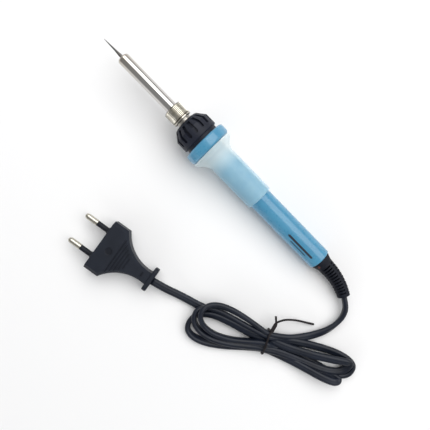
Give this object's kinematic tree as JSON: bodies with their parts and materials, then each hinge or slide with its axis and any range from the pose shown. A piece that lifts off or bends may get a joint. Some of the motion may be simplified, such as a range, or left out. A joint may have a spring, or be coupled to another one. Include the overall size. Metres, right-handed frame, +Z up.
{
  "type": "soldering iron",
  "caption": "Mains pencil soldering iron with a fine conical tip, knurled barrel nut, fluted cap, sleeved handle, and its flat cord tied in a hank with a flat two-pin plug.",
  "frame": {"origin": "on the bench, under the middle of the iron's box without its cord", "axes": "+X along the iron from its tip towards its cord, +Z up from the bench, +Y away from the cord's side"},
  "size_m": [0.2623, 0.1257, 0.0306],
  "materials": {
    "tip_plating": "dull plated, tinned at the point",
    "barrel_steel": "turned, slightly heat tinted",
    "nut_nickel": "warm nickel plating, straight knurl",
    "bush_steel": "turned",
    "washer_mica": "heat-proof washer, grey-white",
    "cap_plastic": "fine-grained black thermoset",
    "handle_plastic": "moulded, glossy",
    "sleeve_silicone": "milky translucent, satin",
    "heater_ceramic": "white ceramic",
    "lead_insulation": "glass-fibre sleeve",
    "board_laminate": "circuit board laminate",
    "chip_plastic": "moulded epoxy",
    "capacitor_plastic": "dipped film",
    "resistor_lacquer": "lacquer",
    "crimp_metal": "tinned",
    "core_insulation": "smooth insulation",
    "clamp_plastic": "moulded",
    "boot_rubber": "satin black",
    "lens_red": "clear red",
    "led_body": "clear epoxy",
    "cord_jacket": "smooth soft plastic with a centre groove",
    "tie_plastic": "coated wire",
    "plug_rubber": "satin moulded",
    "pin_nickel": "nickel plated",
    "sleeve_black": "moulded insulation",
    "copper": "stranded copper"
  },
  "bodies": {
    "handle": {"handle_shell": "handle_plastic", "grip_sleeve": "sleeve_silicone", "heater_rod": "heater_ceramic", "heater_holder": "heater_ceramic", "heater_leads": "lead_insulation", "control_board": "board_laminate", "board_triac": "chip_plastic", "board_capacitor": "capacitor_plastic", "board_resistors": "resistor_lacquer", "mains_crimps": "crimp_metal", "cord_cores": "core_insulation", "cord_clamp": "clamp_plastic", "strain_relief": "boot_rubber", "indicator_lens": "lens_red", "indicator_led": "led_body", "cord_entry": "cord_jacket", "cord_lead": "cord_jacket", "cord_tail": "cord_jacket", "cord_hank": "cord_jacket", "twist_tie": "tie_plastic", "plug_body": "plug_rubber", "plug_pin_upper": "pin_nickel", "plug_pin_lower": "pin_nickel", "pin_sleeve_upper": "sleeve_black", "pin_sleeve_lower": "sleeve_black", "plug_cores": "copper"},
    "nose": {"nose_bush": "bush_steel", "nose_washer": "washer_mica"},
    "cap": {"locking_cap": "cap_plastic"},
    "tip": {"soldering_tip": "tip_plating"},
    "barrel": {"barrel_tube": "barrel_steel"},
    "nut": {"barrel_nut": "nut_nickel"}
  },
  "joints": [
    {"name": "nose_advance", "type": "slide", "parent": "handle", "child": "nose", "axis": [-0.9971, 0, 0.0754], "range_m": [0, 0.0075]},
    {"name": "cap_turn", "type": "hinge", "parent": "nose", "child": "cap", "pos_m": [-0.03382, 0, 0.01623], "axis": [-0.9971, 0, 0.0754], "range_deg": [0, 1801]},
    {"name": "tip_pull", "type": "slide", "parent": "nose", "child": "tip", "axis": [-0.9971, 0, 0.0754], "range_m": [0, 0.05]},
    {"name": "barrel_advance", "type": "slide", "parent": "tip", "child": "barrel", "axis": [-0.9971, 0, 0.0754], "range_m": [0, 0.0035]},
    {"name": "nut_turn", "type": "hinge", "parent": "barrel", "child": "nut", "pos_m": [-0.04778, 0, 0.01728], "axis": [-0.9971, 0, 0.0754], "range_deg": [0, 1261]}
  ],
  "couplings": [
    {"joint": "cap_turn", "follows": "nose_advance", "rad_per_m": 4188.8},
    {"joint": "nut_turn", "follows": "barrel_advance", "rad_per_m": 6283.2}
  ]
}
